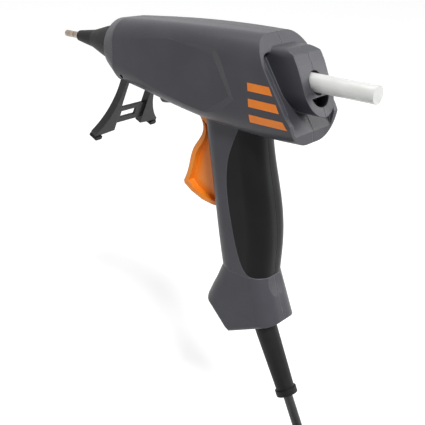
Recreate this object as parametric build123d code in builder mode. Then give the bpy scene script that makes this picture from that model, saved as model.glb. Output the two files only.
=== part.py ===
"""Hot-melt glue gun with a trigger feed, a fold-out stand and a mains cord.

The gun is drawn in a barrel frame: x runs forward along the barrel from the stick inlet, z is
height above the barrel axis.  ACROSS(x) is the section plane at x, SIDE the middle plane.
The part's own origin is the middle of the hand grip.
"""
from math import cos, radians, sin, tan
import os

from build123d import *

os.makedirs("parts", exist_ok=True)

# --- where the barrel stands over the hand grip, the part's origin ---
GRIP_BACK = 50.0            # from the inlet forward to the middle of the grip
AXIS_HEIGHT = 95.0          # barrel axis above the middle of the grip

REACH = 120.0               # longer than any cut

# --- fits ---
SEAM = 0.1                  # half of the visible joint line between left and right
RUN = 0.05                  # running clearance on a radius
SLIDE = 0.3                 # clearance of moulded pieces that slide or seat
SOFT_GAP = 0.3              # gap at a soft or curved face
MOUTH_GAP = 0.6             # each side of the trigger in its mouth
SLOT_IN = 0.4               # folding slots beyond the legs, inside and outside
SLOT_OUT = 1.2
STICK_GAP = 1.4             # round the stick in its inlet

# --- glue stick and barrel line ---
STICK_R = 5.6
STICK_REAR = -36.0
STICK_FRONT = 120.0
NOZZLE_TIP = 232.0
NOZZLE_TIP_R = 2.4
NOZZLE_TUBE = 27.0          # slim tube ahead of the cone
NOZZLE_BORE_R = 1.0
NOZZLE_SOCKET_R = 7.0       # screwed end
VALVE_R = 3.4               # cavity of the check ball
BALL_R = 2.5
CHAMBER_REAR = 112.0
CHAMBER_FRONT = 176.0
CHAMBER_R = 10.5
CHAMBER_BORE_R = STICK_R + SLIDE
OUTLET_R = 1.8
HEATER_X = 120.0
HEATER_L = 34.0
HEATER_W = 12.0
HEATER_T = 3.0
HEATER_SEAT = -13.0         # flat of the chamber's pad

# --- housing ---
WALL = 2.6
HOUSING_FRONT = 158.0
RING_FRONT = 170.0
RING_FRONT_R = 19.0
SHROUD_R = 15.4             # silicone shroud at the ring
SHROUD_TIP_R = 4.0
SHROUD_TIP = 216.0
SHROUD_WALL = 1.6
REAR_X = 19.0               # rear rim plane on the barrel axis
REAR_LEAN = 33.0            # rear rim leans forward at the top
RIM_W = 3.2
RIM_DEPTH = 4.5
TAIL_X = 5.0                # upright end of the barrel below the leaned rim
BARREL_WALL = 3.2
VENT_OUT = 19.4             # vent slots beside the tower
VENT_W = 4.2
VENT_L = 36.0
TOWER_W = 29.0              # inlet tower, U shaped
TOWER_TOP = 19.5
TOWER_REAR = 5.0            # tower face on the barrel axis
TOWER_LEAN = 23.0
WELL_W = 18.0
WELL_DROP = 8.4             # top of the thumb well below the axis
WELL_DEPTH = 9.0

# --- trigger and feed ---
PIVOT_X = 88.0
PIVOT_Z = -24.0
PIVOT_PIN_R = 2.0
FORK_ARM = 22.3             # pivot to fork stud
TRIGGER_PULL = 18.0         # degrees
FORK_BACK = TRIGGER_PULL / 2    # arm leans back by half the swing
TRIGGER_W = 18.0
HUB_R = 4.4
STUD_R = 1.8
FORK_INNER = 11.6
FORK_T = 2.6
ARM_ROOT = 4.1              # half width of the fork's arms at the hub and at the stud
ARM_TIP = 2.9
CARRIAGE_L = 15.0
CARRIAGE_W = 22.0
JAW_PIN_X = 80.0
JAW_PIN_Z = -7.9
JAW_PIN_R = 0.8

# --- stand ---
STAND_X = 151.5
STAND_Z = -17.0
STAND_LEAN = 23.6           # legs lean forward when open
LEG_IN = 13.2
LEG_OUT = 17.0
LEG_T = 5.6
FOOT_OUT = 31.0
LEG_L = 48.0
STAND_PIN_R = 1.5
STAND_HUB_R = 4.5
CROSSBAR_T = 1.8
CROSSBAR_H = 13.5
WINDOW_W = 15.0             # window in the crossbar
WINDOW_H = 5.6

# --- handle, grip and base ---
GRIP_T = 1.8
BASE_W = 35.0
BASE_TILT = 25.0            # base plane, front edge low
BASE_FRONT = 53.0
BASE_LOW = -183.5
BASE_REAR = 17.0
ROOM_FRONT = 52.7           # ends of the floor inside the base
ROOM_REAR = 21.0
EXIT_X = 34.0               # middle of the cord exit on the base plane
SLEEVE_R = 8.0
SLEEVE_END_R = 6.5
SLEEVE_L = 50.5
COLLAR_R = 7.7
COLLAR_L = 4.2
CORD_R = 3.4
SLEEVE_NECK_R = 6.0
SLEEVE_FLANGE_R = 8.5
CORD_INSIDE = 45.0          # jacketed cord inside the base
CLAMP_OUT = -18.0           # cord clamp, inside the base plane
CLAMP_L = 8.0
CLAMP_T = 3.0
CLAMP_SEAT = 3.0
CLAMP_SCREW_GAP = 15.0
CLAMP_SCREW_R = 1.2
SHELF = -129.0              # top of the shelf under the terminal block
WIRE_R = 1.0

# --- mains cord: it hangs to the floor, lies in a put-away coil and ends in a plug ---
FLOOR = -300.0              # floor below the barrel axis
FIRST_RUN = 34.0            # straight out of the sleeve
COIL_R = 5.5 * 2 * CORD_R
COIL_START_X = -61.0
TURNS = 6
REST_GAP = 0.1              # under the cord on the floor and under the plug on the coil
TURN_RISE = 2 * (CORD_R + REST_GAP)
PLUG_L = 36.0
PLUG_W = 34.0
PLUG_T = 20.0
PLUG_PIN_R = 2.0
PLUG_PIN_L = 19.0
PLUG_PIN_GAP = 19.0

# --- fasteners ---
SCREW_R = 1.5
SCREW_HEAD_R = 3.0
SCREW_HEAD_L = 2.2
BOSS_R = 4.2


def ACROSS(x):
    """Section plane of the barrel at x; its own x is the part's +Y."""
    return Plane(origin=(x - GRIP_BACK, 0, AXIS_HEIGHT), x_dir=(0, 1, 0), z_dir=(1, 0, 0))


def LEVEL(z):
    """Horizontal section plane at height z; its own x is the barrel's x."""
    return Plane(origin=(-GRIP_BACK, 0, AXIS_HEIGHT + z), x_dir=(1, 0, 0), z_dir=(0, 0, 1))


def base_height(x):
    """Height of the base plane at x."""
    return BASE_LOW + (BASE_FRONT - x) * tan(radians(BASE_TILT))


SIDE = Plane(origin=(-GRIP_BACK, 0, AXIS_HEIGHT), x_dir=(1, 0, 0), z_dir=(0, -1, 0))


def spot(x, y, z):
    """A point of the barrel frame in the part's frame."""
    return (x - GRIP_BACK, y, z + AXIS_HEIGHT)


def finish(part, name):
    """Label one finished piece and write it."""
    part.label = name
    export_step(part, f"parts/{name}.step")
    return part


# ---------------------------------------------------------------- housing forms
# Barrel sections: x, half width, bottom, top, corner radius
BARREL = [
    (HOUSING_FRONT, 22.5, -23.0, 21.0, 15.0),
    (118.0, 24.0, -28.5, 24.0, 14.0),
    (70.0, 26.0, -34.5, 26.0, 15.0),
    (30.0, 27.0, -37.2, 26.5, 19.0),
    (-14.0, 27.0, -36.0, 26.5, 22.0),
]
# Handle sections: z, rear, front, half width
HANDLE = [
    (-18.0, 38.0, 86.0, 15.0),
    (-42.0, 38.5, 84.0, 15.0),
    (-66.0, 34.5, 79.0, 16.0),
    (-95.0, 28.5, 73.5, 16.5),
    (-120.0, 27.0, 69.5, 16.0),
    (-143.0, 27.5, 65.0, 15.5),
]
HANDLE_CORNER = 13.0
# Plan of the base, top and bottom: z, rear, front, half width
BASE_TOP = -136.0
BASE_SKIRT = [(BASE_TOP, 27.2, 66.7, 15.7), (-192.0, 8.0, 90.0, 19.0)]


def barrel_form(inset):
    """Barrel shell's solid form, each section drawn in by inset."""
    with BuildPart() as form:
        for x, half, low, high, corner in BARREL:
            with BuildSketch(ACROSS(x)):
                with Locations((0, (low + high) / 2)):
                    RectangleRounded(
                        2 * (half - inset), high - low - 2 * inset, corner - 0.9 * inset)
        loft()
    return form.part


def handle_form(inset):
    """Handle's solid form, each section drawn in by inset."""
    with BuildPart() as form:
        for z, rear, front, half in HANDLE:
            with BuildSketch(LEVEL(z)):
                with Locations(((rear + front) / 2, 0)):
                    RectangleRounded(
                        front - rear - 2 * inset, 2 * (half - inset), HANDLE_CORNER - inset)
        loft()
    return form.part


def skirted(form, inset):
    """Round a form of the base in plan, as its skirt has it."""
    with BuildPart() as skirt:
        for z, rear_x, front_x, half in BASE_SKIRT:
            with BuildSketch(LEVEL(z)):
                with Locations(((rear_x + front_x) / 2, 0)):
                    RectangleRounded(front_x - rear_x - 2 * inset, 2 * (half - inset),
                                     HANDLE_CORNER - inset)
        loft()
        add(form, mode=Mode.INTERSECT)
    return skirt.part


def base_form():
    """Flared base under the handle, with its slanted resting face."""
    with BuildPart() as form:
        with BuildSketch(SIDE):
            with BuildLine():
                rear = Spline((BASE_REAR, base_height(BASE_REAR)), (22.3, -150.0), (26.4, -141.0),
                              (27.6, BASE_TOP))
                front = Spline((66.2, BASE_TOP), (66.4, -141.0), (69.2, -148.5), (76.0, -157.0))
                Line(rear @ 1, front @ 0)
                Polyline(front @ 1, (76.0, -162.0), (56.5, -181.5), (BASE_FRONT, BASE_LOW), rear @ 0)
            make_face()
        extrude(amount=BASE_W / 2, both=True)
        fillet(faces().filter_by(Axis.Y).edges(), 3.0)
    return skirted(form.part, 0.0)


def base_room():
    """The room inside the base, whose floor is one wall above the slanted resting face."""
    rise = WALL / cos(radians(BASE_TILT))
    with BuildPart() as form:
        with BuildSketch(SIDE):
            with BuildLine():
                Polyline((30.5, BASE_TOP - 1.0), (62.8, BASE_TOP - 1.0), (66.0, -149.5), (72.8, -158.5),
                         (72.8, -161.0), (ROOM_FRONT, base_height(ROOM_FRONT) + rise),
                         (ROOM_REAR, base_height(ROOM_REAR) + rise), (25.5, -150.0), close=True)
            make_face()
        extrude(amount=BASE_W / 2 - WALL, both=True)
    return skirted(form.part, WALL)


def rim_plane(x_on_axis, lean):
    """A plane across the barrel that leans forward at the top, facing back."""
    return Plane(
        origin=spot(x_on_axis, 0, 0), x_dir=(0, -1, 0),
        z_dir=(-cos(radians(lean)), 0, sin(radians(lean))))


def u_profile(half, low, high, round_top):
    """Sketch a U: straight sides, round bottom, rounded top corners."""
    with BuildSketch() as sketch:
        with BuildLine():
            left = Line((-half, high), (-half, low + half))
            RadiusArc(left @ 1, (half, low + half), -half)
            right = Line((half, low + half), (half, high))
            Line(right @ 1, left @ 0)
        make_face()
        fillet(vertices().group_by(Axis.Y)[-1], round_top)
    return sketch.sketch


def block(x0, x1, y0, y1, z0, z1):
    """A box between the given barrel-frame limits."""
    with BuildPart(Plane(origin=spot((x0 + x1) / 2, (y0 + y1) / 2, (z0 + z1) / 2))) as box:
        Box(x1 - x0, y1 - y0, z1 - z0)
    return box.part


def both_sides(x0, x1, y0, y1, z0, z1):
    """The same box on the left and on the right."""
    return [block(x0, x1, y0, y1, z0, z1), block(x0, x1, -y1, -y0, z0, z1)]


def rod(x, z, y0, y1, radius):
    """A cylinder that lies across the gun, from y0 to y1."""
    middle = Plane(origin=spot(x, (y0 + y1) / 2, z), x_dir=(1, 0, 0), z_dir=(0, 1, 0))
    with BuildPart(middle) as pin:
        Cylinder(radius, abs(y1 - y0))
    return pin.part


def bar(x0, x1, radius, z=0.0, y=0.0):
    """A cylinder along the barrel, from x0 to x1."""
    middle = Plane(origin=spot((x0 + x1) / 2, y, z), x_dir=(0, 1, 0), z_dir=(1, 0, 0))
    with BuildPart(middle) as pin:
        Cylinder(radius, abs(x1 - x0))
    return pin.part


def turned(points):
    """A body turned about the barrel axis from (x, radius) points."""
    with BuildPart() as body:
        with BuildSketch(SIDE):
            with BuildLine():
                Polyline(*points, close=True)
            make_face()
        revolve(axis=Axis(spot(0, 0, 0), (1, 0, 0)))
    return body.part


def slab(points, y0, y1):
    """A plate cut to a side outline, from y0 to y1."""
    with BuildPart() as plate:
        with BuildSketch(SIDE.offset(-(y0 + y1) / 2)):
            with BuildLine():
                Polyline(*points, close=True)
            make_face()
        extrude(amount=abs(y1 - y0) / 2, both=True)
    return plate.part


def exit_plane(out):
    """Plane across the cord's exit, out from the base plane; its own y points forward."""
    lean = radians(BASE_TILT)
    return Plane(
        origin=spot(EXIT_X - out * sin(lean), 0, base_height(EXIT_X) - out * cos(lean)),
        x_dir=(0, 1, 0), z_dir=(-sin(lean), 0, -cos(lean)))


def along_exit(out0, out1, radius, end_radius=None):
    """A round or tapered length on the cord's exit axis."""
    with BuildPart() as length:
        with BuildSketch(exit_plane(out0)):
            Circle(radius)
        if end_radius is None:
            extrude(amount=out1 - out0)
        else:
            with BuildSketch(exit_plane(out1)):
                Circle(end_radius)
            loft()
    return length.part


# ---------------------------------------------------------------- housing
barrel_outer = barrel_form(0)
handle_outer = handle_form(0)
base_outer = base_form()

# flat side panel: a facet on each flank with a bevelled border
PANEL_REAR = 66.0
PANEL_OUT = 24.4            # half width of the barrel over the panels, rear and front
PANEL_OUT_FRONT = 22.6
PANEL_BEVEL = 2.4           # how far the border rises
PANEL_INNER = [(-13.7, -12.2), (0.6, 11.8), (65.7, 18.6), (110.0, 20.0), (110.0, -40.0), (6.0, -26.0)]
PANEL_OUTER = [(-20.5, -13.4), (-5.5, 18.8), (65.7, 22.5), (112.0, 24.0), (112.0, -44.0), (2.0, -34.0)]
with BuildPart() as side_panels:
    for side in (-1, 1):
        slope = Vector(HOUSING_FRONT - PANEL_REAR, side * (PANEL_OUT_FRONT - PANEL_OUT), 0)
        outward = slope.normalized().cross(Vector(0, 0, 1)) * -side
        flank = Plane(origin=spot(PANEL_REAR, side * PANEL_OUT, 0), x_dir=slope, z_dir=outward)
        for lift, outline in ((0.0, PANEL_INNER), (PANEL_BEVEL, PANEL_OUTER)):
            with BuildSketch(flank.offset(lift)):
                with BuildLine():
                    Polyline(*[(x, -side * z) for x, z in outline], close=True)
                make_face()
        loft(ruled=True)

# soft grip: the back and the sides of the handle, behind a curved front boundary
GRIP_EDGE = [
    (51.0, -34.5), (54.5, -43.0), (58.5, -57.0), (59.0, -68.0), (57.5, -82.0), (53.5, -100.0),
    (46.5, -124.0), (40.5, -133.5), (33.0, -135.8),
]
with BuildPart() as grip_region:
    with BuildSketch(SIDE):
        with BuildLine():
            edge = Spline(*GRIP_EDGE)
            Polyline(edge @ 1, (-5.0, -135.8), (-5.0, -34.5), edge @ 0)
        make_face()
    extrude(amount=REACH / 2, both=True)
with BuildPart() as grip:
    add(handle_outer)
    add(handle_form(GRIP_T), mode=Mode.SUBTRACT)
    add(barrel_outer, mode=Mode.SUBTRACT)
    add(grip_region.part, mode=Mode.INTERSECT)

# recess and tower of the stick inlet
with BuildPart() as rim_recess:
    with BuildSketch(rim_plane(REAR_X, REAR_LEAN)):
        add(u_profile(27.0 - RIM_W, -45.0 + RIM_W, 20.0, 6.0))
    extrude(amount=-RIM_DEPTH)
tower_outline = [
    (38.0, TOWER_TOP), (20.0, TOWER_TOP), (13.5, 17.0), (TOWER_REAR + 5.0, 11.0),
    (TOWER_REAR - 8.5, -20.5), (38.0, -20.5),
]
with BuildPart() as tower:
    with BuildSketch(ACROSS(-20.0)):
        add(u_profile(TOWER_W / 2, TOWER_TOP - 39.0, TOWER_TOP, 4.5))
    extrude(amount=58.0)
    add(slab(tower_outline, -TOWER_W, TOWER_W), mode=Mode.INTERSECT)
with BuildPart() as well:
    with BuildSketch(rim_plane(TOWER_REAR, TOWER_LEAN)):
        with BuildLine():
            top = Line((-WELL_W / 2, -WELL_DROP), (WELL_W / 2, -WELL_DROP))
            RadiusArc(top @ 1, top @ 0, WELL_W / 2 + 0.5)
        make_face()
    extrude(amount=WELL_DEPTH, both=True)

SCREWS = [
    (60.0, 17.0, 24.5), (134.0, 15.0, 21.5), (104.0, -25.0, 19.0), (30.0, -27.0, 24.0),
    (62.0, -111.0, 14.0), (64.0, -158.0, 16.0),
]
SCREW_SINK = 3.0            # head below the surface
floor = rim_plane(REAR_X, REAR_LEAN).offset(-RIM_DEPTH - WALL)

CLAMP_FACE = Plane(
    origin=exit_plane(CLAMP_OUT).from_local_coords((0, -CORD_R - SLIDE - CLAMP_T, 0)),
    x_dir=(0, 1, 0), z_dir=exit_plane(CLAMP_OUT).y_dir)
with BuildPart() as clamp_bores:
    with BuildSketch(CLAMP_FACE):
        with GridLocations(CLAMP_SCREW_GAP, 0, 2, 1):
            Circle(CLAMP_SCREW_R + RUN)
    extrude(amount=CLAMP_T + 2 * (CORD_R + SLIDE) + CLAMP_SEAT)

with BuildPart() as hollow:
    add(barrel_form(BARREL_WALL))
    with BuildSketch(floor):
        Rectangle(REACH, REACH)
    extrude(amount=REACH, mode=Mode.SUBTRACT)
    add(block(-REACH, TAIL_X + BARREL_WALL, -REACH, REACH, -REACH, -20.0), mode=Mode.SUBTRACT)
    add(handle_form(WALL + GRIP_T))
    add(base_room())

with BuildPart() as frames:
    for x in (CHAMBER_REAR + 6.0, HOUSING_FRONT - 4.0):
        add(block(x - 1.25, x + 1.25, -30, 30, -40, 30))
    for rail in both_sides(66.0, 108.0, CARRIAGE_W / 2 + SLIDE, 30.0, 5.0, 9.0):
        add(rail)
    for wall in both_sides(114.0, HOUSING_FRONT, LEG_IN - 2.4, 30.0, -40.0, -9.5):
        add(wall)
    for side in (-1, 1):
        add(rod(PIVOT_X, PIVOT_Z, side * (FORK_INNER + FORK_T + SLIDE), side * 30.0, 5.0))
    for x, z, half in SCREWS:
        add(rod(x, z, -30.0, 30.0, BOSS_R))
    add(block(20.0, 75.0, -20.0, 20.0, SHELF - 2.0, SHELF))
    with BuildSketch(exit_plane(CLAMP_OUT)):
        with Locations((0, CORD_R + SLIDE + CLAMP_SEAT / 2)):
            Rectangle(60.0, CLAMP_SEAT)
    extrude(amount=CLAMP_L / 2, both=True)
with BuildPart() as envelope:
    add(barrel_outer)
    add(handle_outer)
    add(base_outer)
    with BuildSketch(rim_plane(REAR_X, REAR_LEAN)):
        Rectangle(REACH, 2 * REACH)
    extrude(amount=REACH, mode=Mode.SUBTRACT)
    add(block(-REACH, TAIL_X, -REACH, REACH, -60.0, -20.0), mode=Mode.SUBTRACT)
    add(rim_recess.part, mode=Mode.SUBTRACT)
    add(grip.part, mode=Mode.SUBTRACT)
    add(side_panels.part, mode=Mode.SUBTRACT)
with BuildPart() as ribs:
    add(frames.part)
    add(envelope.part, mode=Mode.INTERSECT)
with BuildPart() as housing:
    add(envelope.part)
    add(hollow.part, mode=Mode.SUBTRACT)
    add(ribs.part)
    add(tower.part)
    # stick hole, thumb well and the slots beside the tower
    add(bar(-30.0, 60.0, STICK_R + STICK_GAP), mode=Mode.SUBTRACT)
    with BuildSketch(rim_plane(REAR_X, REAR_LEAN)):
        with GridLocations(2 * VENT_OUT, 0, 2, 1):
            Rectangle(VENT_W, VENT_L)
    extrude(amount=-RIM_DEPTH - WALL - 1.0, mode=Mode.SUBTRACT)
    add(well.part, mode=Mode.SUBTRACT)
    # room for the melt chamber in its two frames
    add(bar(CHAMBER_REAR, RING_FRONT, CHAMBER_R + SLIDE), mode=Mode.SUBTRACT)
    add(block(CHAMBER_REAR, RING_FRONT, -9.8, 9.8, -18.2, 0.0), mode=Mode.SUBTRACT)
    # mouth of the trigger in the barrel's underside and the front of the handle
    add(block(60.0, 95.0, -TRIGGER_W / 2 - MOUTH_GAP, TRIGGER_W / 2 + MOUTH_GAP, -96.0, -20.0),
        mode=Mode.SUBTRACT)
    add(rod(72.0, -96.0, -TRIGGER_W / 2 - MOUTH_GAP, TRIGGER_W / 2 + MOUTH_GAP, 4.0), mode=Mode.SUBTRACT)
    # folding slots of the stand
    for slot in both_sides(116.0, 156.5, LEG_IN - SLOT_IN, LEG_OUT + SLOT_OUT, -60.0, -11.5):
        add(slot, mode=Mode.SUBTRACT)
    for mouth in both_sides(156.0, HOUSING_FRONT + 1.0, LEG_IN - SLOT_IN, LEG_OUT + SLOT_OUT, -60.0, -18.5):
        add(mouth, mode=Mode.SUBTRACT)
    add(rod(STAND_X, STAND_Z, -30.0, 30.0, STAND_PIN_R + RUN), mode=Mode.SUBTRACT)
    # cord: base hole, shelf hole and clamp screw holes
    add(along_exit(-WALL - 2.0, 5.0, SLEEVE_NECK_R + RUN), mode=Mode.SUBTRACT)
    add(block(46.0, 60.0, -5.0, 5.0, SHELF - 3.0, SHELF + 1.0), mode=Mode.SUBTRACT)
    add(clamp_bores.part, mode=Mode.SUBTRACT)
    add(rod(PIVOT_X, PIVOT_Z, -30.0 + 9.0, 30.0 - 9.0, PIVOT_PIN_R + RUN), mode=Mode.SUBTRACT)
    for x, z, half in SCREWS:
        add(rod(x, z, -half, half - SCREW_SINK, SCREW_R + RUN), mode=Mode.SUBTRACT)
        add(rod(x, z, -30.0, SCREW_SINK + SCREW_HEAD_L - half, SCREW_HEAD_R + SLIDE),
            mode=Mode.SUBTRACT)


def halves(body, kind):
    """Cut a body on the middle plane and write its left and right half."""
    for name, side in ((f"{kind}_left", 1), (f"{kind}_right", -1)):
        y0, y1 = sorted((side * SEAM, side * REACH))
        with BuildPart() as half:
            add(body)
            add(block(-REACH, 2 * REACH, y0, y1, -2 * REACH, REACH), mode=Mode.INTERSECT)
        finish(half.part, name)


halves(housing.part, "housing")
halves(grip.part, "grip")

# ---------------------------------------------------------------- nozzle end
_, half_front, low_front, high_front, corner_front = BARREL[0]
with BuildPart() as front_ring:
    with BuildSketch(ACROSS(HOUSING_FRONT)):
        with Locations((0, (low_front + high_front) / 2)):
            RectangleRounded(2 * half_front, high_front - low_front, corner_front)
    with BuildSketch(ACROSS(RING_FRONT)):
        RectangleRounded(2 * RING_FRONT_R, 2 * RING_FRONT_R, RING_FRONT_R - 0.2)
    loft()
    add(bar(HOUSING_FRONT - 1, RING_FRONT + 1, SHROUD_R + SOFT_GAP), mode=Mode.SUBTRACT)
finish(front_ring.part, "front_ring")

# silicone shroud: a cone that hugs the nozzle tube at its tip
NECK_R = 2.9                # tube inside the shroud, ahead of it the bare tip
NECK_END = SHROUD_TIP + 1.4
SHROUD_LINE = [(RING_FRONT, SHROUD_R), (186.0, 10.8), (199.0, 6.6), (SHROUD_TIP, SHROUD_TIP_R)]
shroud_outside = [(HOUSING_FRONT + 2.0, SHROUD_R)] + SHROUD_LINE
shroud_inside = [(x, max(r - SHROUD_WALL, NECK_R + SLIDE)) for x, r in shroud_outside]
with BuildPart() as nozzle_shroud:
    add(turned(shroud_outside + shroud_inside[::-1]))
    with BuildSketch(ACROSS(RING_FRONT + 1.0)):
        with PolarLocations(SHROUD_R - 1.0, 6):
            Rectangle(2.0, 1.6)
    extrude(amount=26.0, taper=0)
    add(turned([(HOUSING_FRONT, SHROUD_R + 3.0)] + [(x, r + 0.8) for x, r in SHROUD_LINE]
               + [(SHROUD_TIP, 0.0), (HOUSING_FRONT, 0.0)]), mode=Mode.INTERSECT)
    add(turned([(HOUSING_FRONT, 0.0)] + [(x, r) for x, r in shroud_inside]
               + [(SHROUD_TIP, 0.0)]), mode=Mode.SUBTRACT)
finish(nozzle_shroud.part, "nozzle_shroud")

cavity_end = CHAMBER_FRONT + 9.0
finish(turned([
    (CHAMBER_FRONT, VALVE_R), (CHAMBER_FRONT, NOZZLE_SOCKET_R), (CHAMBER_FRONT + 8.0, NOZZLE_SOCKET_R),
    (CHAMBER_FRONT + 12.0, 5.2), (NOZZLE_TIP - NOZZLE_TUBE, NECK_R), (NECK_END, NECK_R),
    (NECK_END, NOZZLE_TIP_R),
    (NOZZLE_TIP - 0.8, NOZZLE_TIP_R), (NOZZLE_TIP, NOZZLE_TIP_R - 0.6), (NOZZLE_TIP, NOZZLE_BORE_R),
    (cavity_end + 2.0, NOZZLE_BORE_R), (cavity_end, VALVE_R)]), "nozzle")

ball_x = CHAMBER_FRONT + (BALL_R ** 2 - OUTLET_R ** 2) ** 0.5 + SLIDE
with BuildPart(Plane(origin=spot(ball_x, 0, 0))) as check_ball:
    Sphere(BALL_R)
finish(check_ball.part, "check_ball")


def coil_spring(plane, length, pitch, radius, wire):
    """A round-wire compression spring along a plane's normal."""
    with BuildPart() as spring:
        with BuildLine():
            turns = Helix(pitch, length, radius, center=plane.origin, direction=plane.z_dir)
        with BuildSketch(Plane(origin=turns @ 0, z_dir=turns % 0)):
            Circle(wire)
        sweep(is_frenet=True)
    return spring.part


SPRING_WIRE = 0.3
spring_start = ball_x + BALL_R + SLIDE + SPRING_WIRE
finish(coil_spring(ACROSS(spring_start), cavity_end - SLIDE - SPRING_WIRE - spring_start, 1.1,
                   VALVE_R - SLIDE - 2 * SPRING_WIRE, SPRING_WIRE), "check_spring")

with BuildPart() as melt_chamber:
    add(turned([
        (CHAMBER_REAR, CHAMBER_BORE_R), (CHAMBER_REAR, CHAMBER_R), (CHAMBER_FRONT, CHAMBER_R),
        (CHAMBER_FRONT, OUTLET_R), (CHAMBER_FRONT - 4.0, OUTLET_R),
        (CHAMBER_FRONT - 16.0, CHAMBER_BORE_R)]))
    add(block(HEATER_X - 4.0, HEATER_X + HEATER_L + 3.0, -8.0, 8.0, HEATER_SEAT, -8.5))
finish(melt_chamber.part, "melt_chamber")
finish(block(HEATER_X, HEATER_X + HEATER_L, -HEATER_W / 2, HEATER_W / 2, HEATER_SEAT - HEATER_T,
             HEATER_SEAT), "heater")
with BuildPart() as heater_clip:
    add(block(HEATER_X + 4.0, HEATER_X + HEATER_L - 4.0, -9.1, 9.1,
              HEATER_SEAT - HEATER_T - 0.8, -9.5))
    add(block(HEATER_X, HEATER_X + HEATER_L, -8.3, 8.3, HEATER_SEAT - HEATER_T, -9.0),
        mode=Mode.SUBTRACT)
finish(heater_clip.part, "heater_clip")

SLEEVE_START = 98.0
INLET_R = 9.5
finish(turned([
    (SLEEVE_START, STICK_R + SLIDE), (SLEEVE_START, INLET_R), (CHAMBER_REAR, INLET_R),
    (CHAMBER_REAR, STICK_R + SLIDE)]), "inlet_sleeve")
finish(turned([
    (104.0, INLET_R + 0.1), (104.0, INLET_R + 1.1), (109.0, INLET_R + 1.1),
    (109.0, INLET_R + 0.1)]), "sleeve_clamp")

# ---------------------------------------------------------------- feed
stud_x = PIVOT_X - FORK_ARM * sin(radians(FORK_BACK))
stud_z = PIVOT_Z + FORK_ARM * cos(radians(FORK_BACK))
CARRIAGE_X = 74.0
with BuildPart() as feed_carriage:
    add(block(CARRIAGE_X, CARRIAGE_X + CARRIAGE_L, -CARRIAGE_W / 2, CARRIAGE_W / 2, -9.5, 11.0))
    fillet(edges().filter_by(Axis.X), 2.5)
    add(bar(CARRIAGE_X - 1, CARRIAGE_X + CARRIAGE_L + 1, STICK_R + 2 * SLIDE), mode=Mode.SUBTRACT)
    for slot in both_sides(stud_x - STUD_R - 0.15, stud_x + STUD_R + 0.15, CARRIAGE_W / 2 - 2.2,
                           CARRIAGE_W / 2 + 1, stud_z - STUD_R - 0.6, stud_z + STUD_R + 0.8):
        add(slot, mode=Mode.SUBTRACT)
    add(block(77.7, 86.3, -4.3, 4.3, -10.0, -5.0), mode=Mode.SUBTRACT)
    add(rod(JAW_PIN_X, JAW_PIN_Z, -8.0, 8.0, JAW_PIN_R + RUN), mode=Mode.SUBTRACT)
finish(feed_carriage.part, "feed_carriage")
with BuildPart() as clamp_jaw:
    add(block(78.0, 86.0, -4.0, 4.0, -9.5, -5.0))
    add(bar(77.0, 87.0, STICK_R + 0.1), mode=Mode.SUBTRACT)
    add(rod(JAW_PIN_X, JAW_PIN_Z, -5.0, 5.0, JAW_PIN_R + RUN), mode=Mode.SUBTRACT)
finish(clamp_jaw.part, "clamp_jaw")
finish(rod(JAW_PIN_X, JAW_PIN_Z, -7.9, 7.9, JAW_PIN_R), "jaw_pin")

with BuildPart() as trigger:
    with BuildSketch(SIDE):
        with BuildLine():
            finger = Spline((90.5, -33.0), (86.4, -46.5), (94.0, -58.5), (98.0, -72.0), (102.6, -84.0))
            Polyline(finger @ 1, (102.0, -86.2), (95.1, -90.5), (85.8, -94.0), (76.6, -95.4),
                     (66.0, -94.8), (64.5, -80.0), (66.5, -62.0), (73.0, -42.0), (82.8, -26.0),
                     (92.6, -24.0), finger @ 0)
        make_face()
    extrude(amount=TRIGGER_W / 2, both=True)
    # moulded side recesses leave a rim round the front and the bottom
    for side in (-1, 1):
        with BuildSketch(SIDE.offset(side * TRIGGER_W / 2)):
            with BuildLine():
                inner = Spline((86.5, -37.0), (83.6, -47.5), (91.0, -60.5), (94.6, -72.0), (98.2, -83.0))
                Polyline(inner @ 1, (93.5, -87.6), (84.5, -91.2), (76.8, -92.4), (69.0, -91.9),
                         (67.5, -80.0), (69.5, -62.5), (75.5, -44.0), inner @ 0)
            make_face()
        extrude(amount=-side * 5.0, mode=Mode.SUBTRACT)
    reach = FORK_INNER + FORK_T
    add(rod(PIVOT_X, PIVOT_Z, -reach, reach, HUB_R))
    for side in (-1, 1):
        add(slab([(PIVOT_X - ARM_ROOT, PIVOT_Z), (PIVOT_X + ARM_ROOT, PIVOT_Z),
                  (stud_x + ARM_TIP, stud_z + ARM_TIP), (stud_x - ARM_TIP, stud_z + ARM_TIP)],
                 side * FORK_INNER, side * reach))
        add(rod(stud_x, stud_z, side * (CARRIAGE_W / 2 - 1.6), side * reach, STUD_R))
    add(rod(PIVOT_X, PIVOT_Z, -20.0, 20.0, PIVOT_PIN_R + RUN), mode=Mode.SUBTRACT)
finish(trigger.part, "trigger")
finish(rod(PIVOT_X, PIVOT_Z, -20.5, 20.5, PIVOT_PIN_R), "trigger_pin")
RETURN_WIRE = 0.6
RETURN_R = 3.8
RETURN_PITCH = 4.6
RETURN_Z = -62.0            # height of the spring, level with the fingers
return_start = 41.6
return_seat = Plane(origin=spot(return_start, 0, RETURN_Z), z_dir=(1, 0, 0))
finish(coil_spring(return_seat, 66.0 - SLIDE - RETURN_WIRE - return_start, RETURN_PITCH,
                   RETURN_R, RETURN_WIRE),
       "return_spring")

finish(bar(STICK_REAR, STICK_FRONT, STICK_R), "glue_stick")

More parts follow.
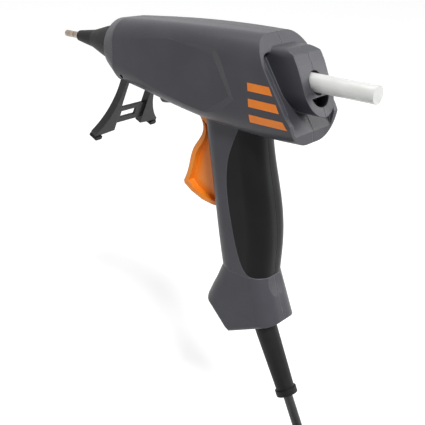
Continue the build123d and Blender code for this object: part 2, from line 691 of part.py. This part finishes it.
# ---------------------------------------------------------------- stand
lean = radians(STAND_LEAN)
YOKE = Plane(origin=spot(STAND_X, 0, STAND_Z), x_dir=(0, 1, 0), z_dir=(cos(lean), 0, sin(lean)))
with BuildPart() as stand:
    for side in (-1, 1):
        with BuildSketch(YOKE):
            with BuildLine():
                outer = Spline((side * LEG_OUT, 0.0), (side * LEG_OUT, -16.0), (side * 21.0, -31.0),
                               (side * FOOT_OUT, -LEG_L + 2.0))
                Polyline(outer @ 1, (side * FOOT_OUT, -LEG_L), (side * LEG_IN, -LEG_L + 1.5),
                         (side * LEG_IN, 0.0), outer @ 0)
            make_face()
        extrude(amount=LEG_T / 2, both=True)
        add(rod(STAND_X, STAND_Z, side * LEG_IN, side * LEG_OUT, STAND_HUB_R))
    # crossbar with its window
    with BuildSketch(YOKE):
        with Locations((0, -35.0)):
            Rectangle(2 * LEG_IN + 2.0, CROSSBAR_H)
        with Locations((2.0, -34.6)):
            Rectangle(WINDOW_W, WINDOW_H, mode=Mode.SUBTRACT)
    extrude(amount=CROSSBAR_T / 2, both=True)
    add(rod(STAND_X, STAND_Z, -30.0, 30.0, STAND_PIN_R + RUN), mode=Mode.SUBTRACT)
finish(stand.part, "stand")
with BuildPart() as stand_pins:
    for side in (-1, 1):
        add(rod(STAND_X, STAND_Z, side * (LEG_IN - 2.2), side * (LEG_OUT + 1.0), STAND_PIN_R))
finish(stand_pins.part, "stand_pins")
for name, side in (("foot_left", 1), ("foot_right", -1)):
    with BuildPart() as foot:
        with BuildSketch(YOKE):
            with Locations((side * (FOOT_OUT - 3.0), -LEG_L - 1.6)):
                RectangleRounded(6.4, 3.2, 1.2)
        extrude(amount=LEG_T / 2 + 0.6, both=True)
    finish(foot.part, name)

# ---------------------------------------------------------------- screws
with BuildPart() as housing_screws:
    for x, z, half in SCREWS:
        add(rod(x, z, SCREW_SINK + SCREW_HEAD_L - half, half - SCREW_SINK - 0.5, SCREW_R))
        add(rod(x, z, SCREW_SINK - half, SCREW_SINK + SCREW_HEAD_L - half, SCREW_HEAD_R))
finish(housing_screws.part, "housing_screws")

# ---------------------------------------------------------------- cord entry
with BuildPart() as strain_relief:
    add(along_exit(SLIDE, SLEEVE_L, SLEEVE_R, SLEEVE_END_R))
    add(along_exit(SLEEVE_L, SLEEVE_L + COLLAR_L, COLLAR_R))
    add(along_exit(-WALL - SLIDE, SLIDE, SLEEVE_NECK_R))
    add(along_exit(-WALL - 2.5 - SLIDE, -WALL - SLIDE, SLEEVE_FLANGE_R))
    add(along_exit(-REACH, REACH, CORD_R + RUN), mode=Mode.SUBTRACT)
finish(strain_relief.part, "strain_relief")
finish(along_exit(-CORD_INSIDE, SLEEVE_L + COLLAR_L, CORD_R), "cord_entry")
with BuildPart() as cord_clamp:
    with BuildSketch(exit_plane(CLAMP_OUT)):
        with Locations((0, -CORD_R - SLIDE - CLAMP_T / 2)):
            Rectangle(CLAMP_SCREW_GAP + 6.0, CLAMP_T)
    extrude(amount=CLAMP_L / 2, both=True)
    add(clamp_bores.part, mode=Mode.SUBTRACT)
finish(cord_clamp.part, "cord_clamp")
with BuildPart() as clamp_screws:
    with BuildSketch(CLAMP_FACE):
        with GridLocations(CLAMP_SCREW_GAP, 0, 2, 1):
            Circle(CLAMP_SCREW_R)
    extrude(amount=CLAMP_T + 2 * (CORD_R + SLIDE) + CLAMP_SEAT - 0.6)
    with BuildSketch(CLAMP_FACE):
        with GridLocations(CLAMP_SCREW_GAP, 0, 2, 1):
            Circle(2 * CLAMP_SCREW_R)
    extrude(amount=-1.8)
finish(clamp_screws.part, "clamp_screws")
finish(block(36.0, 57.0, -8.0, 8.0, SHELF, SHELF + 10.0), "terminal_block")


def round_cable(points, radius, bends):
    """A round cable along straight runs joined by tangent arcs."""
    with BuildPart() as cable:
        with BuildLine() as route:
            FilletPolyline(*points, radius=bends)
        with BuildSketch(Plane(origin=route.line @ 0, z_dir=route.line % 0)):
            Circle(radius)
        sweep()
    return cable.part


with BuildPart() as wires:
    for side in (-1, 1):
        add(round_cable([
            spot(41.0, side * 6.0, SHELF + 10.0), spot(41.5, side * 6.8, -72.0),
            spot(47.5, side * 7.2, -44.0), spot(50.0, side * 7.6, -30.0),
            spot(58.0, side * 16.5, -13.0),
            spot(97.0, side * 17.0, -13.0), spot(108.0, side * 6.0, -14.5),
            spot(HEATER_X, side * 4.0, -14.5)], WIRE_R, 5.0))
finish(wires.part, "wires")

# ---------------------------------------------------------------- mains cord
sleeve_end = exit_plane(SLEEVE_L + COLLAR_L)
lie = FLOOR + CORD_R + REST_GAP
coil_top = lie + TURNS * TURN_RISE
DROP_ROUTE = [
    tuple(sleeve_end.origin), tuple(sleeve_end.origin + sleeve_end.z_dir * FIRST_RUN),
    spot(-16.0, 0.0, -279.0), spot(-36.0, 0.0, lie), spot(COIL_START_X, 0.0, lie)]
plug_height = coil_top + CORD_R + PLUG_T / 2 + REST_GAP
TAIL_ROUTE = [
    spot(COIL_START_X, 0.0, coil_top), spot(-97.0, 0.0, plug_height - 4.0),
    spot(-97.0, 60.0, plug_height), spot(-59.0, 60.0, plug_height)]


def bend_radii(points):
    """Radius of each corner: as large as its two runs allow."""
    runs = [Vector(b) - Vector(a) for a, b in zip(points, points[1:])]
    free = [run.length * 0.47 for run in runs]
    free[0], free[-1] = 2 * free[0], 2 * free[-1]
    return [min(free[i], free[i + 1]) / tan(radians(runs[i].get_angle(runs[i + 1])) / 2)
            for i in range(len(runs) - 1)]


with BuildPart() as cord_tube:
    for route in (DROP_ROUTE, TAIL_ROUTE):
        add(round_cable(route, CORD_R, bend_radii(route)))
finish(cord_tube.part, "cord_tube")
with BuildPart() as cord_coil:
    with BuildSketch(Plane(origin=spot(COIL_START_X, COIL_R, FLOOR))):
        Circle(COIL_R + CORD_R)
        Circle(COIL_R - CORD_R, mode=Mode.SUBTRACT)
    extrude(amount=coil_top + CORD_R - FLOOR)
    for route in (DROP_ROUTE, TAIL_ROUTE):
        add(round_cable(route, CORD_R + SLIDE, bend_radii(route)), mode=Mode.SUBTRACT)
finish(cord_coil.part, "cord_coil")

PLUG = Plane(origin=TAIL_ROUTE[-1], x_dir=(0, 1, 0), z_dir=(1, 0, 0))
with BuildPart() as plug_body:
    for out, wide, thick, corner in ((0.0, 13.0, 12.0, 5.0), (10.0, 18.0, 15.0, 6.0),
                                     (22.0, PLUG_W, PLUG_T, 7.0), (PLUG_L, PLUG_W, PLUG_T, 7.0)):
        with BuildSketch(PLUG.offset(out)):
            RectangleRounded(wide, thick, corner)
    loft(ruled=True)
    with BuildSketch(PLUG.offset(PLUG_L)):
        with GridLocations(PLUG_PIN_GAP, 0, 2, 1):
            Circle(PLUG_PIN_R + RUN)
    extrude(amount=-PLUG_L / 3, mode=Mode.SUBTRACT)
finish(plug_body.part, "plug_body")
with BuildPart() as plug_pins:
    with BuildSketch(PLUG.offset(PLUG_L * 2 / 3)):
        with GridLocations(PLUG_PIN_GAP, 0, 2, 1):
            Circle(PLUG_PIN_R)
    extrude(amount=PLUG_L / 3 + PLUG_PIN_L)
    fillet(edges().group_by(Axis.X)[-1], 1.2)
finish(plug_pins.part, "plug_pins")
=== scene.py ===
from math import cos, pi, radians, sin

import bmesh
import bpy
from mathutils import Matrix, Vector


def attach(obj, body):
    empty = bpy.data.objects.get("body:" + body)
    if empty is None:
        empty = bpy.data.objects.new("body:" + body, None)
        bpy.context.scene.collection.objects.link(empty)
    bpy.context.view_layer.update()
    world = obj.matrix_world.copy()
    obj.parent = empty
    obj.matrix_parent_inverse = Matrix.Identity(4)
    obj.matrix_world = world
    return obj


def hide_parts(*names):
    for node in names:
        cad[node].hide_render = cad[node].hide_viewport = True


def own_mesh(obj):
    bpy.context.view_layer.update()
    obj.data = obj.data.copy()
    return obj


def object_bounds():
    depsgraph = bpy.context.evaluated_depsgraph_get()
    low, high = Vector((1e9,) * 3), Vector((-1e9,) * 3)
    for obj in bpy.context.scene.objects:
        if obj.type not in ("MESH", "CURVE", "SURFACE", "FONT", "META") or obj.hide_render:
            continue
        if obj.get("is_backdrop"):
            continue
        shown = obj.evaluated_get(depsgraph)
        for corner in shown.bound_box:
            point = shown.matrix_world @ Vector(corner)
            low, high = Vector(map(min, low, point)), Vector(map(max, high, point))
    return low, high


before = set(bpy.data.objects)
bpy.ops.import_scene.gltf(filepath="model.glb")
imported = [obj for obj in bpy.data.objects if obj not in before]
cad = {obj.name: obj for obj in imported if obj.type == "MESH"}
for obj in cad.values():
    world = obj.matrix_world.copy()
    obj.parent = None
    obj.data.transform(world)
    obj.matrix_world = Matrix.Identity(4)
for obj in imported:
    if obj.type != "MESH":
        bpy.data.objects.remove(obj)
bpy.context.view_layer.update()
MM = 0.001


# ------------------------------------------------------------------ colours and nodes
def colour(hex_value, alpha=1.0):
    """An sRGB hex colour as the linear values that Blender works in."""
    parts = [int(hex_value[i:i + 2], 16) / 255 for i in (1, 3, 5)]
    return (*[c / 12.92 if c <= 0.04045 else ((c + 0.055) / 1.055) ** 2.4 for c in parts], alpha)


def add_node(tree, kind, settings=None, links=None):
    """Adds one shader node, sets its sockets or settings by name and joins what feeds it."""
    made = tree.nodes.new("ShaderNode" + kind)
    for name, value in (settings or {}).items():
        if name in made.inputs and not hasattr(made, str(name)):
            made.inputs[name].default_value = value
        else:
            setattr(made, name, value)
    for name, source in (links or {}).items():
        tree.links.new(source, made.inputs[name])
    return made


def watched(tree):
    """1 for rays that the eye, a glossy face or a clear one follows, and 0 for light itself."""
    rays = add_node(tree, "LightPath")
    mirrored = add_node(tree, "Math", {"operation": "MAXIMUM"},
                        {0: rays.outputs["Is Glossy Ray"],
                         1: rays.outputs["Is Transmission Ray"]})
    seen = add_node(tree, "Math", {"operation": "MAXIMUM"},
                    {0: rays.outputs["Is Camera Ray"], 1: mirrored.outputs[0]})
    return seen.outputs[0]


def grain(tree, millimetres, detail=2.0, stretch=(1.0, 1.0, 1.0)):
    """Noise on the object's own place, whose spots are so many millimetres across."""
    place = add_node(tree, "TexCoord")
    turned = add_node(tree, "Mapping", {"Scale": stretch}, {"Vector": place.outputs["Object"]})
    return add_node(tree, "TexNoise", {"Scale": 1.0 / (millimetres * MM), "Detail": detail},
                    {"Vector": turned.outputs[0]})


# an edge starts to pale, partly as wear and partly as a painted highlight, and is fully pale
# where the true and the rounded face part by these cosines
EDGE_WEAR_AND_SHEEN_STARTS, EDGE_WEAR_AND_SHEEN_FULL = 0.985, 0.86


def finish_of(name, base, dark=None, light=None, rough=(0.4, 0.5), metallic=0.0, ior=1.5,
              tone_mm=9.0, grit_mm=0.6, grit=0.1, edge_mm=0.0, edge=None, stretch=(1, 1, 1),
              shader=None):
    """A material whose tone varies over tone_mm, and whose gloss and grit follow a pattern of
    grit_mm. edge_mm rounds its edges to the eye, and edge is the paler colour they turn to,
    partly as wear and partly as a painted highlight."""
    made = bpy.data.materials.new(name)
    made.use_nodes = True
    tree = made.node_tree
    tree.nodes.clear()
    tone = grain(tree, tone_mm, 3.0, stretch)
    ramp = add_node(tree, "ValToRGB", links={0: tone.outputs[0]})
    ramp.color_ramp.elements[0].position = 0.3
    ramp.color_ramp.elements[1].position = 0.7
    ramp.color_ramp.elements[0].color = colour(dark or base)
    ramp.color_ramp.elements[1].color = colour(light or base)
    middle = ramp.color_ramp.elements.new(0.5)
    middle.color = colour(base)
    tint = ramp.outputs[0]
    fine = grain(tree, grit_mm, 2.0, stretch)
    gloss = add_node(tree, "MapRange", {"To Min": rough[0], "To Max": rough[1],
                                        "From Min": 0.3, "From Max": 0.7},
                     {"Value": fine.outputs[0]})
    bump = add_node(tree, "Bump", {"Strength": grit, "Distance": grit_mm * MM * 0.4},
                    {"Height": fine.outputs[0]})
    if edge_mm:
        soft = add_node(tree, "Bevel", {"samples": 6, "Radius": edge_mm * MM})
        tree.links.new(soft.outputs[0], bump.inputs["Normal"])
        if edge:
            # painted highlight and wear: where the rounded normal leaves the true one, the
            # colour goes in patches toward the paler edge colour
            flat = add_node(tree, "NewGeometry")
            turn = add_node(tree, "VectorMath", {"operation": "DOT_PRODUCT"},
                            {0: soft.outputs[0], 1: flat.outputs["True Normal"]})
            worn_and_sheen = add_node(tree, "MapRange", {"From Min": EDGE_WEAR_AND_SHEEN_STARTS, "From Max": EDGE_WEAR_AND_SHEEN_FULL},
                            {"Value": turn.outputs["Value"]})
            patchy_wear_and_sheen = add_node(tree, "Math", {"operation": "MULTIPLY"},
                              {0: worn_and_sheen.outputs[0], 1: tone.outputs[0]})
            mixed = add_node(tree, "Mix", {"data_type": "RGBA"}, {0: patchy_wear_and_sheen.outputs[0], 6: tint})
            mixed.inputs[7].default_value = colour(edge)
            tint = mixed.outputs[2]
    surface = add_node(tree, "BsdfPrincipled", {"Metallic": metallic, "IOR": ior},
                       {"Base Color": tint, "Roughness": gloss.outputs[0],
                        "Normal": bump.outputs[0]})
    for socket, value in (shader or {}).items():
        surface.inputs[socket].default_value = value
    add_node(tree, "OutputMaterial", links={"Surface": surface.outputs[0]})
    return made


# glass-filled polyamide, spark-eroded mould: even anthracite with a fine satin grit
shell_grey = finish_of("anthracite_glass_filled_polyamide", "#3f3f45", "#3c3c42", "#434349",
                       rough=(0.34, 0.46), ior=1.53, tone_mm=30, grit_mm=0.7, grit=0.16,
                       edge_mm=0.9, edge="#7c7c84", shader={"Specular IOR Level": 0.28})
# styrene block elastomer moulded over the handle: deep black with soft wide highlights
grip_black = finish_of("black_thermoplastic_elastomer", "#0e0e0f", "#0c0c0d", "#111112",
                       rough=(0.3, 0.42), ior=1.5, tone_mm=18, grit_mm=0.9, grit=0.1,
                       edge_mm=0.6, shader={"Specular IOR Level": 0.15})
# self-coloured polyamide from a finer mould: warm orange that glows at thin places
trigger_orange = finish_of("orange_polyamide", "#f28a1c", "#ee8416", "#f49226",
                           rough=(0.3, 0.42), ior=1.53, tone_mm=22, grit_mm=0.6, grit=0.08,
                           edge_mm=0.8, shader={"Subsurface Weight": 0.08,
                                                "Subsurface Radius": (0.004, 0.0016, 0.0006)})
# pad-printed ink on the shell: the same orange, a little flatter
accent_orange = finish_of("orange_printed_ink", "#f0821a", "#ec7c14", "#f28a22",
                          rough=(0.4, 0.52), tone_mm=12, grit_mm=0.5, grit=0.06)
# silicone rubber, compression moulded: velvety black that holds dust in its pores
silicone_black = finish_of("black_silicone_rubber", "#161617", "#131314", "#1b1b1c",
                           rough=(0.42, 0.6), ior=1.43, tone_mm=7, grit_mm=0.5, grit=0.12,
                           edge_mm=0.3, edge="#3a3a3c", shader={"Specular IOR Level": 0.25})
# heat-resistant polyamide of the stand: black with a satin, slightly scratched face
stand_black = finish_of("black_glass_filled_polyamide", "#1c1c1e", "#18181a", "#222225",
                        rough=(0.35, 0.52), ior=1.53, tone_mm=6, grit_mm=0.6, grit=0.14,
                        edge_mm=0.5, edge="#4c4c50", shader={"Specular IOR Level": 0.3})
# turned steel run hot: straw and brown tints along the tube, fine turning marks across it
nozzle_steel = finish_of("heat_tinted_turned_steel", "#a3968a", "#8b7a6b", "#b8b0a8",
                         rough=(0.26, 0.42), metallic=1.0, tone_mm=5, grit_mm=0.5, grit=0.1,
                         edge_mm=0.3, stretch=(3.0, 0.6, 0.6))
# zinc-plated steel: cool bright grey, lightly clouded
zinc_steel = finish_of("zinc_plated_steel", "#b4b8bc", "#a4a9ae", "#c4c8cb",
                       rough=(0.24, 0.36), metallic=1.0, tone_mm=4, grit_mm=0.4, grit=0.06)
# die-cast aluminium: dull silver with a coarse cast skin
cast_aluminium = finish_of("die_cast_aluminium", "#a9a9a8", "#999998", "#b6b6b5",
                           rough=(0.42, 0.6), metallic=1.0, tone_mm=8, grit_mm=0.9, grit=0.2)
# heater plate in its polyimide film: amber brown and glossy
heater_film = finish_of("polyimide_wrapped_ceramic", "#b0793a", "#a06a2e", "#bf8646",
                        rough=(0.18, 0.3), tone_mm=6, grit_mm=0.8, grit=0.05)
# natural polyamide: milky ivory, faintly translucent
natural_nylon = finish_of("natural_polyamide", "#d9d5c8", "#d2cdbf", "#e1ddd2",
                          rough=(0.34, 0.46), tone_mm=12, grit_mm=0.6, grit=0.06,
                          shader={"Subsurface Weight": 0.15,
                                  "Subsurface Radius": (0.003, 0.003, 0.0025)})
# extruded PVC lead: black with a low, slightly greasy gloss
lead_black = finish_of("black_pvc_sheath", "#18181a", "#141415", "#1e1e20",
                       rough=(0.34, 0.5), ior=1.53, tone_mm=25, grit_mm=1.2, grit=0.08)
# moulded PVC plug: a shade greyer than its lead, with a fine grit
plug_black = finish_of("black_moulded_pvc", "#1c1c1e", "#19191a", "#212123",
                       rough=(0.4, 0.56), ior=1.53, tone_mm=10, grit_mm=0.6, grit=0.12,
                       edge_mm=0.8, edge="#3a3a3d")
# silicone-insulated wire: brick red, matt
wire_red = finish_of("red_silicone_insulation", "#7a2f22", "#6d281c", "#86392b",
                     rough=(0.45, 0.6), ior=1.43, tone_mm=5, grit_mm=0.5, grit=0.08)
# ethylene copolymer hot melt: cloudy white that lets light through its end
glue_white = finish_of("cloudy_hot_melt_copolymer", "#f1f2ef", "#e9ebe8", "#f8f9f7",
                       rough=(0.22, 0.27), ior=1.48, tone_mm=14, grit_mm=2.5, grit=0.03,
                       shader={"Transmission Weight": 0.25, "Subsurface Weight": 0.5,
                               "Subsurface Radius": (0.006, 0.006, 0.006)})

DRESS = {
    shell_grey: "housing_left housing_right front_ring",
    grip_black: "grip_left grip_right foot_left foot_right",
    trigger_orange: "trigger",
    silicone_black: "nozzle_shroud inlet_sleeve strain_relief cord_entry",
    stand_black: "stand cord_clamp",
    nozzle_steel: "nozzle plug_pins",
    zinc_steel: "check_ball check_spring heater_clip sleeve_clamp clamp_jaw jaw_pin trigger_pin "
                "return_spring stand_pins housing_screws clamp_screws",
    cast_aluminium: "melt_chamber",
    heater_film: "heater",
    natural_nylon: "feed_carriage terminal_block",
    glue_white: "glue_stick",
    lead_black: "cord_tube cord_coil",
    plug_black: "plug_body",
    wire_red: "wires",
}
for material, names in DRESS.items():
    for name in names.split():
        cad[name].data.materials.clear()
        cad[name].data.materials.append(material)


# ------------------------------------------------------------------ modelling helpers
# the barrel's own frame, seen from the hand grip, and the height of the floor in it
GRIP_TO_INLET, GRIP_TO_BARREL = -50.0, 95.0
FLOOR_FROM_BARREL = -300.0


def spot(x, y, z):
    """A place in the barrel's frame, in millimetres, as a place of the whole part."""
    return Vector((x + GRIP_TO_INLET, y, z + GRIP_TO_BARREL)) * MM


def settle(piece, material, body):
    """Brings a finished piece to the origin, dresses it and lets it ride on its body."""
    bpy.ops.object.select_all(action="DESELECT")
    piece.select_set(True)
    bpy.context.view_layer.objects.active = piece
    for modifier in list(piece.modifiers):
        bpy.ops.object.modifier_apply(modifier=modifier.name)
    bpy.ops.object.transform_apply(location=True, rotation=True, scale=True)
    piece.data.materials.clear()
    piece.data.materials.append(material)
    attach(piece, body)


# ------------------------------------------------------------------ return spring
# It shortens between its seat in the handle and the trigger, which a CAD node can't do; here a
# # piece of the same shape, with its loose triangles joined, stands for it and rides on the gun.
WELD = 0.001                # joins the loose triangles that a CAD node's mesh is made of

coil_mesh = cad["return_spring"].data.copy()
joined = bmesh.new()
joined.from_mesh(coil_mesh)
bmesh.ops.remove_doubles(joined, verts=joined.verts, dist=WELD * MM)
joined.to_mesh(coil_mesh)
joined.free()
spring = bpy.data.objects.new("shortening_spring", coil_mesh)
bpy.context.scene.collection.objects.link(spring)
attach(spring, "gun")
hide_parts("return_spring")
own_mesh(spring)

# ------------------------------------------------------------------ camera
camera_data = bpy.data.cameras.new("camera")
camera = bpy.data.objects.new("camera", camera_data)
bpy.context.scene.collection.objects.link(camera)
# the camera's own axes, and its place in metres
RIGHT = (-0.76447, -0.64427, 0.02172)
UP = (0.26509, -0.28349, 0.92160)
BACK = (-0.58762, 0.71030, 0.38752)
EYE = (-0.2940, 0.3957, 0.2047)
camera.matrix_world = Matrix([*zip(RIGHT, UP, BACK, EYE), (0, 0, 0, 1)])
camera_data.sensor_width = 36.0
camera_data.lens = 66.92
camera_data.clip_start = 0.02
bpy.context.scene.camera = camera

# ------------------------------------------------------------------ mains lead
# in the part's millimetres: DROP falls from the handle to the floor, the lead then lies in its
# coil, and TAIL leads from there up to the plug
DROP = [(-39.117, 0, -129.215), (-53.486, 0, -160.03), (-60.1, 0, -174.3), (-66.2, 0, -187.0),
        (-76.7, 0, -196.3), (-89.7, 0, -201.5), (-103.7, 0, -201.5)]
TAIL = [(-106.6, -0.2, -159.2), (-131.8, 0, -155.0), (-148.4, 16.8, -151.0),
        (-148.4, 41.4, -147.5), (-127.8, 61.5, -146.0), (-109, 60, -146)]
COIL_X, COIL_R, TURNS, PER_TURN = -111.0, 37.4, 6, 16
LIE, TURN_RISE = -201.5, 7.0    # height of the lead on the floor, and its climb in each turn
LEAD_R = 3.4
route = list(DROP)
for step in range(TURNS * PER_TURN - 1):
    turn = (step + 0.5) / PER_TURN
    angle = -pi / 2 - 2 * pi * turn
    route.append((COIL_X + COIL_R * cos(angle), COIL_R + COIL_R * sin(angle),
                  LIE + TURN_RISE * turn))
route += TAIL
lead_curve = bpy.data.curves.new("mains_lead", "CURVE")
lead_curve.dimensions = "3D"
line = lead_curve.splines.new("NURBS")
line.points.add(len(route) - 1)
for point, place in zip(line.points, route):
    point.co = (*[v * MM for v in place], 1.0)
line.order_u = 3
line.use_endpoint_u = True
line.resolution_u = 6
lead_curve.bevel_depth = LEAD_R * MM
lead_curve.bevel_resolution = 5
lead_curve.use_fill_caps = True
lead = bpy.data.objects.new("mains_lead", lead_curve)
bpy.context.scene.collection.objects.link(lead)
lead_curve.materials.append(lead_black)
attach(lead, "gun")
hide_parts("cord_tube", "cord_coil")

# ------------------------------------------------------------------ printed bars
CLEAR_OF_FLANK = 34.0       # how far out a bar starts before it is laid on the flank
INK_THICKNESS = 0.12
BAR_GRID = 24               # faces along and across, so that it follows the curved flank


def flank_bar(name, corners, side):
    """A slanted printed bar laid on the barrel's flank."""
    bpy.ops.object.select_all(action="DESELECT")
    bpy.ops.mesh.primitive_grid_add(x_subdivisions=BAR_GRID, y_subdivisions=BAR_GRID, size=1.0)
    bar = bpy.context.object
    bar.name = name
    a, b, c, d = [spot(x, side * CLEAR_OF_FLANK, z) for x, z in corners]
    for vertex in bar.data.vertices:
        u, v = vertex.co.x + 0.5, vertex.co.y + 0.5
        vertex.co = (a * (1 - u) + b * u) * (1 - v) + (d * (1 - u) + c * u) * v
    wrap = bar.modifiers.new("wrap", "SHRINKWRAP")
    wrap.target = cad["housing_left" if side > 0 else "housing_right"]
    wrap.wrap_method = "PROJECT"
    wrap.use_project_y = True
    wrap.use_project_x = wrap.use_project_z = False
    wrap.use_positive_direction = side < 0
    wrap.use_negative_direction = side > 0
    wrap.offset = INK_THICKNESS * MM
    settle(bar, accent_orange, "gun")


# three short bars one above the other, each cut on the slant of the inlet's rim
BAR_TOPS = (-0.6, -10.2, -19.8)
BAR_HEIGHT = 5.0
REAR_ON_AXIS, REAR_SLANT = 20.8, 0.56       # along the rim
FRONT_ON_AXIS, FRONT_SLANT = 36.8, 0.11     # nearly upright


def bar_ends(z):
    """Rear and front end of a printed bar at a height."""
    return REAR_ON_AXIS + REAR_SLANT * z, FRONT_ON_AXIS + FRONT_SLANT * z


for number, top in enumerate(BAR_TOPS, start=1):
    low = top - BAR_HEIGHT
    (rear_top, front_top), (rear_low, front_low) = bar_ends(top), bar_ends(low)
    for side, word in ((1, "left"), (-1, "right")):
        flank_bar(f"printed_bar_{word}_{number}",
                  [(rear_top, top), (front_top, top), (front_low, low), (rear_low, low)], side)

# ------------------------------------------------------------------ catch under the barrel
# the folded stand snaps over a rounded pad ahead of the trigger, one on each side
PAD_X, PAD_Y, PAD_Z = 113.0, 13.5, -26.4
PAD_SIZE = Vector((15.0, 7.5, 6.5))
PAD_SLOPE = 7.0             # degrees, along the barrel's underside
PAD_TAPER = 0.72            # its lower face against its root
PAD_ROUND = 2.2
for side, word in ((1, "left"), (-1, "right")):
    bpy.ops.object.select_all(action="DESELECT")
    bpy.ops.mesh.primitive_cube_add(size=1.0, location=spot(PAD_X, side * PAD_Y, PAD_Z),
                                    rotation=(0.0, radians(PAD_SLOPE), 0.0),
                                    scale=PAD_SIZE * MM)
    pad = bpy.context.object
    pad.name = f"stand_catch_{word}"
    bpy.ops.object.mode_set(mode="EDIT")
    bpy.ops.mesh.select_all(action="DESELECT")
    mesh = bmesh.from_edit_mesh(pad.data)
    for face in mesh.faces:
        face.select = face.normal.z < -0.9      # its lower face
    bmesh.update_edit_mesh(pad.data)
    bpy.ops.transform.resize(value=(PAD_TAPER, PAD_TAPER, 1.0))
    bpy.ops.object.mode_set(mode="OBJECT")
    round_off = pad.modifiers.new("round_off", "BEVEL")
    round_off.width, round_off.segments = PAD_ROUND * MM, 4
    smooth = pad.modifiers.new("smooth", "SUBSURF")
    smooth.levels = smooth.render_levels = 1
    bpy.ops.object.shade_smooth()
    settle(pad, shell_grey, "gun")

# ------------------------------------------------------------------ floor and light
FLOOR_Z = (FLOOR_FROM_BARREL + GRIP_TO_BARREL) * MM
FLOOR_SIDE = 12.0
WHITE = colour("#ffffff")
PAPER_GLOW = 0.51           # lifts the lit paper to white, and leaves the shadow on it
AMBIENT, BACKDROP = 0.13, 1.0   # what the room gives the object, and how bright it is to the eye
bpy.ops.mesh.primitive_plane_add(size=FLOOR_SIDE, location=(0, 0, FLOOR_Z))
floor = bpy.context.object
floor.name = "floor"
white = bpy.data.materials.new("white_paper_sweep")
white.use_nodes = True
tree = white.node_tree
tree.nodes.clear()
# seen straight on, the sweep is paper white; what it throws back on the object is plain grey
paper = add_node(tree, "BsdfDiffuse", {"Color": colour("#d8d8d8")})
glow = add_node(tree, "Emission", {"Color": WHITE, "Strength": PAPER_GLOW})
lit = add_node(tree, "AddShader", links={0: paper.outputs[0], 1: glow.outputs[0]})
sweep = add_node(tree, "MixShader", links={0: watched(tree), 1: paper.outputs[0],
                                           2: lit.outputs[0]})
add_node(tree, "OutputMaterial", links={"Surface": sweep.outputs[0]})
floor.data.materials.append(white)
floor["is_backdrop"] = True

world = bpy.data.worlds.new("studio")
bpy.context.scene.world = world
world.use_nodes = True
tree = world.node_tree
tree.nodes.clear()
ambient = add_node(tree, "Background", {"Color": WHITE, "Strength": AMBIENT})
backdrop = add_node(tree, "Background", {"Color": WHITE, "Strength": BACKDROP})
choice = add_node(tree, "MixShader", links={0: watched(tree), 1: ambient.outputs[0],
                                            2: backdrop.outputs[0]})
add_node(tree, "OutputWorld", links={"Surface": choice.outputs[0]})


def soft_lamp(name, place, aim, width, height, watts):
    """A rectangular softbox that looks at a place of the object."""
    data = bpy.data.lights.new(name, "AREA")
    data.shape = "RECTANGLE"
    data.size, data.size_y, data.energy = width, height, watts
    lamp = bpy.data.objects.new(name, data)
    lamp.location = place
    lamp.rotation_mode = "QUATERNION"
    lamp.rotation_quaternion = (Vector(aim) - Vector(place)).to_track_quat("-Z", "Y")
    bpy.context.scene.collection.objects.link(lamp)


# a far, wide key lamp: the same light over the whole sweep, with a soft long shadow
KEY_FROM = Vector((-0.6, 0.4, 0.69))
KEY_STRENGTH, KEY_WIDTH = 2.45, 12.0        # its width in degrees, as seen from the object
key_data = bpy.data.lights.new("key_lamp", "SUN")
key_data.energy, key_data.angle = KEY_STRENGTH, radians(KEY_WIDTH)
key = bpy.data.objects.new("key_lamp", key_data)
key.rotation_mode = "QUATERNION"
key.rotation_quaternion = KEY_FROM.to_track_quat("Z", "Y")
bpy.context.scene.collection.objects.link(key)
soft_lamp("softbox_above", place=(0.25, -0.15, 1.25), aim=(0.05, 0.0, 0.0),
          width=0.9, height=0.3, watts=7.0)
soft_lamp("softbox_rim", place=(-0.7, -0.9, 0.45), aim=(0.0, 0.0, 0.0),
          width=0.4, height=0.9, watts=6.0)
bpy.context.scene.view_settings.view_transform = "Standard"

low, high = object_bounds()
